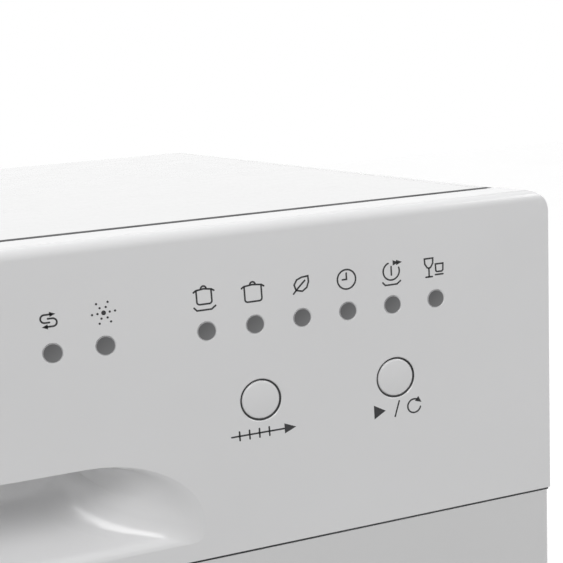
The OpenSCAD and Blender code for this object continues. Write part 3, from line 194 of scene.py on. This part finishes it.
def brushed(name, colour, grain, rough_low, rough_high, depth):
    """Rolled or brushed steel: noise drawn out along the grain, in colour, gloss and bump."""
    s = Shader(name, Metallic=1.0, Anisotropic=0.35)
    lines = s.noise(1, 6, 0.6, s.stretched(grain))
    s.colour(s.ramp(lines, shade(colour, -0.07), shade(colour, 0.05), 0.3, 0.7))
    smears = s.noise(7, 4)
    mixed = s.node("Mix")
    mixed.inputs["Factor"].default_value = 0.5
    s.link(lines, mixed.inputs["A"])
    s.link(smears, mixed.inputs["B"])
    s.roughness(s.ramp(mixed.outputs["Result"], rough_low, rough_high, 0.35, 0.65))
    s.bump(lines, 0.12, depth)
    return s.material


def stainless():
    return brushed("stainless", (0.63, 0.635, 0.64), (14, 14, 900), 0.24, 0.36, 0.00005)


def zinc_steel():
    """Zinc plated steel, with its cloudy spangle."""
    s = Shader("zinc_steel", Metallic=1.0)
    cells = s.node("TexVoronoi")
    cells.inputs["Scale"].default_value = 240
    s.link(s.place, cells.inputs["Vector"])
    s.colour(s.ramp(cells.outputs["Distance"], (0.5, 0.51, 0.53), (0.66, 0.67, 0.68), 0.0, 0.8))
    s.roughness(s.ramp(s.noise(120, 4), 0.3, 0.48))
    s.bump(s.noise(700, 3), 0.1, 0.0001)
    return s.material


def moulded(name, colour, rough, grain=1100, depth=0.00008):
    """Satin or matt moulded plastic with a fine spark-eroded grain."""
    s = Shader(name, Specular_IOR_Level=0.45)
    s.colour(s.ramp(s.noise(22, 5), shade(colour, -0.06), shade(colour, 0.06)))
    s.roughness(s.ramp(s.noise(grain / 4, 4), rough - 0.06, rough + 0.06))
    s.bump(s.noise(grain, 3), 0.2, depth)
    return s.material


def grey_plastic():
    return moulded("grey_plastic", (0.40, 0.42, 0.44), 0.42)


def pale_plastic():
    return moulded("pale_plastic", (0.72, 0.73, 0.75), 0.3, 1500, 0.00005)


def dark_plastic():
    return moulded("dark_plastic", (0.045, 0.046, 0.05), 0.5)


def lens_smoke():
    """Smoked lens over an unlit light: dark in the middle, with a painted highlight at its rim and painted
    light that makes it a little brighter towards its foot and right side.
    """
    s = Shader("lens_smoke", Roughness=0.3, Specular_IOR_Level=0.5, Coat_Weight=0.2, Coat_Roughness=0.15)
    parts = s.node("SeparateXYZ")
    s.link(s.place, parts.inputs["Vector"])
    across = s.sum(s.sum(parts.outputs["X"], -LENS_LAST_X), 0.5 * LENS_PITCH)
    turn = s.node("Math", operation="FLOORED_MODULO")
    s.link(across, turn.inputs[0])
    turn.inputs[1].default_value = LENS_PITCH
    x = s.sum(turn.outputs["Value"], -0.5 * LENS_PITCH)
    z = s.sum(parts.outputs["Z"], -LENS_Z)
    apart = s.node("CombineXYZ")
    s.link(x, apart.inputs["X"])
    s.link(z, apart.inputs["Z"])
    size = s.node("VectorMath", operation="LENGTH")
    s.link(apart.outputs["Vector"], size.inputs["Vector"])
    # Painted light: the lens colour gets lighter towards its foot and right side, as if lit from there.
    painted_light_slope = s.node("VectorMath", operation="DOT_PRODUCT")
    s.link(apart.outputs["Vector"], painted_light_slope.inputs[0])
    painted_light_slope.inputs[1].default_value = (0.6, 0, -0.8)
    painted_light_lift = s.node("MapRange")
    s.link(painted_light_slope.outputs["Value"], painted_light_lift.inputs["Value"])
    painted_light_lift.inputs["From Min"].default_value = -LENS_D / 2
    painted_light_lift.inputs["From Max"].default_value = LENS_D / 2
    smoke_and_painted_light = s.ramp(painted_light_lift.outputs["Result"], (0.098, 0.099, 0.101), (0.165, 0.166, 0.169), 0.1, 0.95)
    # Painted highlight: a pale ring round the lens's rim.
    rim = s.node("MapRange")
    s.link(size.outputs["Value"], rim.inputs["Value"])
    rim.inputs["From Min"].default_value, rim.inputs["From Max"].default_value = (
        share * LENS_D for share in LENS_RIM_HIGHLIGHT)
    mixed = s.node("Mix", data_type="RGBA")
    s.link(rim.outputs["Result"], mixed.inputs["Factor"])
    s.link(smoke_and_painted_light, mixed.inputs["A"])
    mixed.inputs["B"].default_value = LENS_RIM_HIGHLIGHT_COLOUR
    s.colour(mixed.outputs["Result"])
    s.bump(s.noise(900, 2), 0.1, 0.0001)
    return s.material


def board_green():
    """Lacquered circuit board, with tracks as a fine pattern of cells."""
    s = Shader("board_green", Specular_IOR_Level=0.5, Coat_Weight=0.4, Coat_Roughness=0.2)
    tracks = s.node("TexBrick")
    tracks.inputs["Scale"].default_value = 160
    tracks.inputs["Color1"].default_value = (0.015, 0.12, 0.05, 1)
    tracks.inputs["Color2"].default_value = (0.02, 0.15, 0.06, 1)
    tracks.inputs["Mortar"].default_value = (0.05, 0.24, 0.1, 1)
    s.link(s.place, tracks.inputs["Vector"])
    s.colour(tracks.outputs["Color"])
    s.roughness(s.ramp(s.noise(200, 3), 0.3, 0.5))
    return s.material


def rubber():
    """Matt rubber with a dry bloom."""
    s = Shader("rubber", Specular_IOR_Level=0.35)
    s.colour(s.ramp(s.noise(35, 6), (0.035, 0.035, 0.037), (0.075, 0.075, 0.078)))
    s.roughness(s.ramp(s.noise(160, 4), 0.6, 0.8))
    s.bump(s.noise(1300, 3), 0.25, 0.0001)
    return s.material


def rack_coating():
    """Thick dip coating on wire, smooth and slightly lumpy."""
    s = Shader("rack_coating", Specular_IOR_Level=0.5, Coat_Weight=0.2, Coat_Roughness=0.2)
    s.colour(s.ramp(s.noise(60, 4), (0.40, 0.43, 0.47), (0.46, 0.49, 0.53)))
    s.roughness(s.ramp(s.noise(150, 4), 0.28, 0.4))
    s.bump(s.noise(320, 3), 0.3, 0.0002)
    return s.material


def printed_ink():
    """Screen printed dark grey ink, not quite even."""
    s = Shader("printed_ink", Specular_IOR_Level=0.4)
    s.colour(s.ramp(s.noise(2600, 3), (0.022, 0.022, 0.024), (0.034, 0.034, 0.036)))
    s.roughness(s.ramp(s.noise(900, 3), 0.4, 0.55))
    return s.material


MATERIALS = {made.__name__: made() for made in (white_enamel, white_plastic, stainless, zinc_steel,
    grey_plastic, pale_plastic, dark_plastic, lens_smoke, board_green, rubber, rack_coating, printed_ink)}


# Carried-over nodes

# Angle between faces up to which they are shaded smooth, in degrees
SMOOTH_UP_TO = 28
# Edges that turn by this much more are rounded
EDGE_ANGLE_MARGIN = 4
# Edge radius of each slot; slots not named keep their edges
EDGE_MM = {"white_enamel": 0.4, "white_plastic": 0.35, "grey_plastic": 0.3, "pale_plastic": 0.4,
    "dark_plastic": 0.4, "rubber": 0.4, "zinc_steel": 0.15}
MERGE_MM = 0.005


def smoothing():
    """Node group that joins a carried-over mesh at its split points and shades it smooth up to an angle."""
    group = bpy.data.node_groups.new("smoothing", "GeometryNodeTree")
    for way in ("INPUT", "OUTPUT"):
        group.interface.new_socket("Geometry", in_out=way, socket_type="NodeSocketGeometry")
    add = group.nodes.new
    bare = add("GeometryNodeRemoveAttribute")
    bare.inputs["Name"].default_value = "custom_normal"
    merge = add("GeometryNodeMergeByDistance")
    merge.inputs["Distance"].default_value = MERGE_MM * MM
    smooth, sharp = add("GeometryNodeSetShadeSmooth"), add("GeometryNodeSetShadeSmooth")
    sharp.domain = "EDGE"
    sharp.inputs["Shade Smooth"].default_value = False
    steep = add("FunctionNodeCompare")
    steep.operation = "GREATER_THAN"
    steep.inputs["B"].default_value = math.radians(SMOOTH_UP_TO)
    angle = add("GeometryNodeInputMeshEdgeAngle")
    group.links.new(angle.outputs["Unsigned Angle"], steep.inputs["A"])
    group.links.new(steep.outputs["Result"], sharp.inputs["Selection"])
    chain = [add("NodeGroupInput"), bare, merge, smooth, sharp, add("NodeGroupOutput")]
    for before, after in zip(chain, chain[1:]):
        group.links.new(before.outputs["Geometry"], after.inputs["Geometry"])
    return group


def dress_nodes():
    """Gives every carried-over piece the material of its slot and smooth shading, and soft edges where its slot
    has an edge radius.
    """
    slots = {row["node"]: row["material_slot"] for row in frame["record"]["subparts"]}
    group = smoothing()
    for name, piece in frame["nodes"].items():
        slot = slots[name]
        piece.data.materials.clear()
        piece.data.materials.append(MATERIALS[slot])
        piece.modifiers.new("smooth", "NODES").node_group = group
        if slot in EDGE_MM:
            edge = piece.modifiers.new("edge", "BEVEL")
            edge.width = EDGE_MM[slot] * MM
            edge.segments = 2
            edge.limit_method = "ANGLE"
            edge.angle_limit = math.radians(SMOOTH_UP_TO + EDGE_ANGLE_MARGIN)
            edge.harden_normals = True
            edge.use_clamp_overlap = True


# New pieces


def add_piece(name, made, slot, body):
    """Turns a bmesh into a piece with one material, which rides on a body."""
    mesh = bpy.data.meshes.new(name)
    made.to_mesh(mesh)
    made.free()
    mesh.materials.append(MATERIALS[slot])
    piece = bpy.data.objects.new(name, mesh)
    bpy.context.scene.collection.objects.link(piece)
    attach(piece, body)
    return piece


def close_loops(made, loops):
    """Quads between each ring of vertices and the next, and between the last and the first."""
    for near, far in zip(loops, loops[1:] + loops[:1]):
        for i in range(len(near)):
            j = (i + 1) % len(near)
            made.faces.new((near[i], near[j], far[j], far[i]))
    bmesh.ops.recalc_face_normals(made, faces=made.faces)


# Printed symbols

INK_WIDTH_MM = 0.57
INK_PROUD = 0.03 * MM
# Height of the symbols over the lights, and depth of the signs under the buttons
SYMBOL_RISE = 10.9 * MM
SIGN_DROP = 11.3 * MM


def ink(name, strokes=(), discs=(), fills=(), at=(0, 0)):
    """A flat printed mark on the console: strokes, discs and filled outlines, in mm round its centre."""
    flat = bmesh.new()
    for points in strokes:
        ribbon(flat, [Vector(p) for p in points], INK_WIDTH_MM)
    for x, z, r in discs:
        fan(flat, Vector((x, z)), r, 0, 360)
    for outline in fills:
        flat.faces.new([flat.verts.new((x, 0, z)) for x, z in outline])
    for v in flat.verts:
        v.co = Vector((at[0], FRONT - INK_PROUD, at[1])) + v.co * MM
    bmesh.ops.recalc_face_normals(flat, faces=flat.faces)
    for f in flat.faces:
        if f.normal.y > 0:
            f.normal_flip()
    solid = add_piece(name, flat, "printed_ink", "door").modifiers.new("ink", "SOLIDIFY")
    solid.thickness = 2 * INK_PROUD
    solid.offset = -1


def ribbon(flat, points, width):
    """A stroke of even width through the points, mitred at its bends and round at open ends."""
    points = [p for i, p in enumerate(points) if not i or (p - points[i - 1]).length > 1e-6]
    closed = (points[0] - points[-1]).length < 1e-6
    if closed:
        points = points[:-1]
    count = len(points)
    left, right = [], []
    for i, p in enumerate(points):
        before = p - points[i - 1] if closed or i else points[i + 1] - p
        after = points[(i + 1) % count] - p if closed or i < count - 1 else p - points[i - 1]
        before, after = before.normalized(), after.normalized()
        way = (before + after).normalized()
        side = Vector((-way.y, way.x))
        half = width / 2 / max(0.4, side.dot(Vector((-after.y, after.x))))
        left.append(flat.verts.new((p.x + side.x * half, 0, p.y + side.y * half)))
        right.append(flat.verts.new((p.x - side.x * half, 0, p.y - side.y * half)))
    for i in range(count if closed else count - 1):
        j = (i + 1) % count
        flat.faces.new((left[i], left[j], right[j], right[i]))
    if not closed:
        for end, back in ((points[0], points[1]), (points[-1], points[-2])):
            way = math.degrees(math.atan2(end.y - back.y, end.x - back.x))
            fan(flat, end, width / 2, way - 90, way + 90)


def fan(flat, centre, r, start, end):
    """A disc or a part of one."""
    steps = max(6, int((end - start) / 20))
    turns = [math.radians(start + (end - start) * i / steps) for i in range(steps + (end - start < 360))]
    flat.faces.new([flat.verts.new((centre.x + r * math.cos(a), 0, centre.y + r * math.sin(a))) for a in turns])


def arc(x, z, r, start, end, steps=16):
    """Points along an arc, from one angle to another in degrees."""
    return [(x + r * math.cos(math.radians(start + (end - start) * i / steps)),
        z + r * math.sin(math.radians(start + (end - start) * i / steps))) for i in range(steps + 1)]


def arrow_head(x, z, way, size):
    """A filled triangle whose tip points along way, in degrees."""
    return [(x + size * math.cos(math.radians(way + a)) * k, z + size * math.sin(math.radians(way + a)) * k)
        for a, k in ((0, 1.0), (125, 0.75), (235, 0.75))]


def pot(w, h, z):
    """A lidded pot: its body, its rim and a small knob."""
    r = 0.9
    body = [(-w / 2, z + h), (-w / 2, z + r)] + arc(-w / 2 + r, z + r, r, 180, 270, 5) + \
        arc(w / 2 - r, z + r, r, 270, 360, 5) + [(w / 2, z + h)]
    lid = [(-w / 2 - 0.9, z + h - 0.3), (-w / 2 - 0.1, z + h + 0.25), (0, z + h + 0.6),
        (w / 2 + 0.1, z + h + 0.25), (w / 2 + 0.9, z + h - 0.3)]
    return [body, lid, arc(0, z + h + 0.6, 0.9, 15, 165, 8)]


def plate(w, z):
    """A shallow plate seen from the side."""
    return [(-w / 2, z + 1.0), (-w / 2 + 0.9, z), (w / 2 - 1.4, z), (w / 2, z + 1.0)]


def lens_x(place):
    """X of a place in the row of nine, where lights stand at 0, 1 and 3 to 8."""
    return LENS_LAST_X - (8 - place) * LENS_PITCH


def lens_symbols():
    """The symbols over the indicator lights: generic program pictures, and plain marks for words."""
    z = LENS_Z + SYMBOL_RISE
    bend = 1.25
    ink("salt_symbol", [[(1.0, 2 * bend - 0.6)] + arc(-1.2, bend - 0.6, bend, 90, 270, 12) + [(0.2, -0.6)],
        [(-1.0, 0.6 - 2 * bend)] + arc(1.2, 0.6 - bend, bend, -90, 90, 12) + [(-0.2, 0.6)]],
        fills=[arrow_head(1.0, 2 * bend - 0.6, 0, 1.3), arrow_head(-1.0, 0.6 - 2 * bend, 180, 1.3)],
        at=(lens_x(0) - 0.1 * MM, z - 0.5 * MM))
    dots = [(0, 0, 0.75)]
    for i in range(6):
        a = math.radians(60 * i + 4)
        dots += [(1.95 * math.cos(a), 1.95 * math.sin(a), 0.36), (3.65 * math.cos(a), 3.65 * math.sin(a), 0.36)]
    ink("rinse_symbol", discs=dots, at=(lens_x(1) + 0.45 * MM, z - 0.35 * MM))
    ink("pot_and_plate_symbol", pot(5.0, 4.4, -1.9) + [plate(7.2, -3.8)], at=(lens_x(3), z))
    ink("pot_symbol", pot(5.8, 5.0, -3.2), at=(lens_x(4), z))
    ink("leaf_symbol", [[(-2.6, -2.6), (-1.0, -0.9), (1.6, 1.5)],
        [(-1.6, -1.5), (-2.2, 0.4), (-1.2, 2.0), (0.6, 2.7), (2.8, 2.9), (2.9, 0.9), (2.2, -0.9), (0.6, -2.0),
            (-1.6, -1.5)]], at=(lens_x(5), z))
    ink("clock_symbol", [arc(0, 0, 3.3, 0, 360, 32), [(0, 2.1), (0, 0), (-1.5, 0)]], at=(lens_x(6), z))
    ink("quick_symbol", [arc(0, 0.7, 3.0, 20, -250, 26), plate(6.6, -3.9), [(0.0, 2.3), (0.0, -0.6)]],
        fills=[arrow_head(1.3, 3.5, 0, 1.5), arrow_head(2.6, 3.5, 0, 1.5)], at=(lens_x(7), z))
    ink("glass_and_cup_symbol", [[(-3.9, 3.4), (-0.7, 3.4), (-0.8, 1.6), (-1.6, 0.3), (-2.3, 0.0), (-3.0, 0.3),
        (-3.8, 1.6), (-3.9, 3.4)], [(-2.3, 0.0), (-2.3, -3.0)], [(-3.5, -3.0), (-1.1, -3.0)],
        [(0.2, 1.2), (3.1, 1.2), (3.0, -1.1), (2.6, -1.5), (0.7, -1.5), (0.3, -1.1), (0.2, 1.2)],
        [(0.1, -2.5), (3.0, -2.5)]], at=(lens_x(8), z))


def under(node, drop):
    """The place of a sign under a push button."""
    low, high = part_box(node)
    return (low.x + high.x) / 2, (low.z + high.z) / 2 - drop


def button_symbols():
    """Generic signs under the push buttons, in place of words."""
    steps = [[(x, -1.5), (x, 1.5)] for x in (-8.4, -4.9, -1.4, 2.1)]
    ink("program_symbol", steps + [[(-11.2, 0), (7.4, 0)]], fills=[arrow_head(8.8, 0, 0, 2.9)],
        at=under("program_button", SIGN_DROP))
    ink("start_symbol", [[(-0.9, -2.7), (0.9, 2.7)], arc(6.6, 0, 2.5, 60, 345, 20)],
        fills=[[(-8.8, -2.5), (-8.8, 2.5), (-4.4, 0)], arrow_head(8.2, 2.0, -40, 1.7)],
        at=under("start_button", SIGN_DROP))
    ink("power_symbol", [arc(0, -0.2, 2.4, 130, 410, 24), [(0, 0.4), (0, 2.9)]],
        at=under("power_button", SIGN_DROP - 0.1 * MM))


# Dark strips that stand in for shade in gaps

# Dark rubber lip behind the console, painted shade for the shadowed gap there: how far it laps over the top
# cover, past its ends and above it
GAP_SHADE_LAP, GAP_SHADE_REACH, GAP_SHADE_OVER = 2.5 * MM, 2.6 * MM, 0.04 * MM
GAP_SHADE_THICK, GAP_SHADE_DEPTH, GAP_SHADE_ROUND, LIP_THICK = 2.1 * MM, 11 * MM, 0.5 * MM, 0.1 * MM
# Dark strip in the seam, painted shade for its shadow: its height, how far it stands off the door panel, behind
# the faces and from the ends
SEAM_GAP, SEAM_OFF, SEAM_BACK, SEAM_SHORT = 0.78 * MM, 0.02 * MM, 0.3 * MM, 0.6 * MM
SEAM_THICK = 1.5 * MM
BUTTON_GAP = 0.4 * MM
RING_STEPS = 64


def strip(name, half_length, outline, body):
    """A rubber strip along X with an outline of (y, z) points."""
    made = bmesh.new()
    rows = [[made.verts.new((side * half_length, y, z)) for y, z in outline] for side in (-1, 1)]
    for i in range(len(outline)):
        j = (i + 1) % len(outline)
        made.faces.new((rows[0][i], rows[0][j], rows[1][j], rows[1][i]))
    made.faces.new(rows[0][::-1])
    made.faces.new(rows[1])
    bmesh.ops.recalc_face_normals(made, faces=made.faces)
    add_piece(name, made, "rubber", body)


def gap_shade_strip():
    """Dark rubber lip over the top cover's front edge, painted shade for the shadowed gap behind the console.
    """
    cover_low, cover_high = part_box("top_cover")
    low, high = TOP - GAP_SHADE_DEPTH, TOP + GAP_SHADE_OVER
    back, front = cover_low.y, cover_low.y - GAP_SHADE_THICK
    strip("gap_shade_strip", cover_high.x + GAP_SHADE_REACH, [(back, low), (front, low), (front, high - GAP_SHADE_ROUND),
        (front + GAP_SHADE_ROUND, high), (back + GAP_SHADE_LAP, high), (back + GAP_SHADE_LAP, high - LIP_THICK),
        (back, high - LIP_THICK)], "cabinet")


def seam_shade_strip():
    """Dark strip in the seam under the console, a little behind the faces: painted shade for the seam's shadow.
    """
    panel_top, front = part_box("door_panel")[1].z, FRONT + SEAM_BACK
    low, high, back = panel_top + SEAM_OFF, panel_top + SEAM_GAP, front + SEAM_THICK
    strip("seam_shade_strip", SIDE - SEAM_SHORT, [(front, low), (front, high), (back, high), (back, low)], "door")


def button_rings():
    """Dark ring seen in the gap round each push button, fixed behind the console's face: painted shade for the
    gap's shadow.
    """
    turns = [math.tau * i / RING_STEPS for i in range(RING_STEPS)]
    for node in ("program_button", "start_button", "power_button"):
        low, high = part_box(node)
        x, z, r = (low.x + high.x) / 2, (low.z + high.z) / 2, (high.z - low.z) / 2
        hole = r + BUTTON_GAP
        profile = ((r + 0.04 * MM, 2.4), (r + 0.08 * MM, 0.55), (hole + 0.2 * MM, 0.24),
            (hole - 0.02 * MM, 2.4))
        ring = bmesh.new()
        close_loops(ring, [[ring.verts.new((x + radius * math.cos(a), FRONT + depth_mm * MM,
            z + radius * math.sin(a))) for a in turns] for radius, depth_mm in profile])
        # Painted shade: a dark ring in each button's gap.
        add_piece(node + "_gap_shade", ring, "rubber", "door")


# Stage and lights

STAGE_HALF = 6.0
FLOOR_GREY = 0.4
# Strength of the floor's own light in the camera's view and in reflections
FLOOR_GLOW = 0.75
# Strength of the world for all but the camera's view and reflections
WORLD_LEVEL = 0.415
# Name, place, aim, size and watts
LAMPS = (("top_lamp", (-0.7, 0.6, 2.2), (0, 0.1, 0.4), (1.8, 1.8), 18.5),
    ("front_lamp", (-0.9, -1.6, 2.0), (0.1, -0.2, 0.35), (1.3, 1.0), 22),
    ("side_lamp", (0.8, -0.55, 0.95), (0.27, -0.24, 0.43), (0.35, 0.35), 1.7))


def floor_material():
    """Pale matt floor that keeps shadows and reads as white to the camera where it is lit."""
    s = Shader("floor", Roughness=0.7, Specular_IOR_Level=0.2)
    s.colour(s.ramp(s.noise(3, 3), FLOOR_GREY - 0.01, FLOOR_GREY + 0.01))
    s.bsdf.inputs["Emission Color"].default_value = (1, 1, 1, 1)
    path = s.node("LightPath")
    seen = s.node("Math", operation="MAXIMUM")
    s.link(path.outputs["Is Camera Ray"], seen.inputs[0])
    s.link(path.outputs["Is Glossy Ray"], seen.inputs[1])
    level = s.node("Math", operation="MULTIPLY")
    level.inputs[1].default_value = FLOOR_GLOW
    s.link(seen.outputs["Value"], level.inputs[0])
    s.link(level.outputs["Value"], s.bsdf.inputs["Emission Strength"])
    return s.material


def make_floor():
    mesh = bpy.data.meshes.new("floor")
    mesh.from_pydata([(x * STAGE_HALF, y * STAGE_HALF, 0) for x, y in ((-1, -1), (1, -1), (1, 1), (-1, 1))],
        [], [(0, 1, 2, 3)])
    mesh.materials.append(floor_material())
    floor = bpy.data.objects.new("floor", mesh)
    bpy.context.scene.collection.objects.link(floor)


def make_world():
    """White to the camera and in reflections, and a plain even light for everything else."""
    world = bpy.data.worlds.new("world")
    bpy.context.scene.world = world
    world.use_nodes = True
    nodes, links = world.node_tree.nodes, world.node_tree.links
    background = nodes["Background"]
    background.inputs["Color"].default_value = (1, 1, 1, 1)
    path = nodes.new("ShaderNodeLightPath")
    seen = nodes.new("ShaderNodeMath")
    seen.operation = "MAXIMUM"
    links.new(path.outputs["Is Camera Ray"], seen.inputs[0])
    links.new(path.outputs["Is Glossy Ray"], seen.inputs[1])
    through = nodes.new("ShaderNodeMath")
    through.operation = "MAXIMUM"
    links.new(seen.outputs["Value"], through.inputs[0])
    links.new(path.outputs["Is Transmission Ray"], through.inputs[1])
    mix = nodes.new("ShaderNodeMapRange")
    mix.inputs["To Min"].default_value = WORLD_LEVEL
    mix.inputs["To Max"].default_value = 1.0
    links.new(through.outputs["Value"], mix.inputs["Value"])
    links.new(mix.outputs["Result"], background.inputs["Strength"])


def lamp(name, place, aim, size, watts):
    """A rectangular lamp that points at a place."""
    data = bpy.data.lights.new(name, "AREA")
    data.shape = "RECTANGLE"
    data.size, data.size_y = size
    data.energy = watts
    light = bpy.data.objects.new(name, data)
    light.location = place
    light.rotation_mode = "QUATERNION"
    light.rotation_quaternion = (Vector(aim) - Vector(place)).to_track_quat("-Z", "Y")
    bpy.context.scene.collection.objects.link(light)


make_camera()
dress_nodes()
lens_symbols()
button_symbols()
gap_shade_strip()
seam_shade_strip()
button_rings()
make_floor()
make_world()
for settings in LAMPS:
    lamp(*settings)

bpy.context.scene.view_settings.view_transform = "Standard"
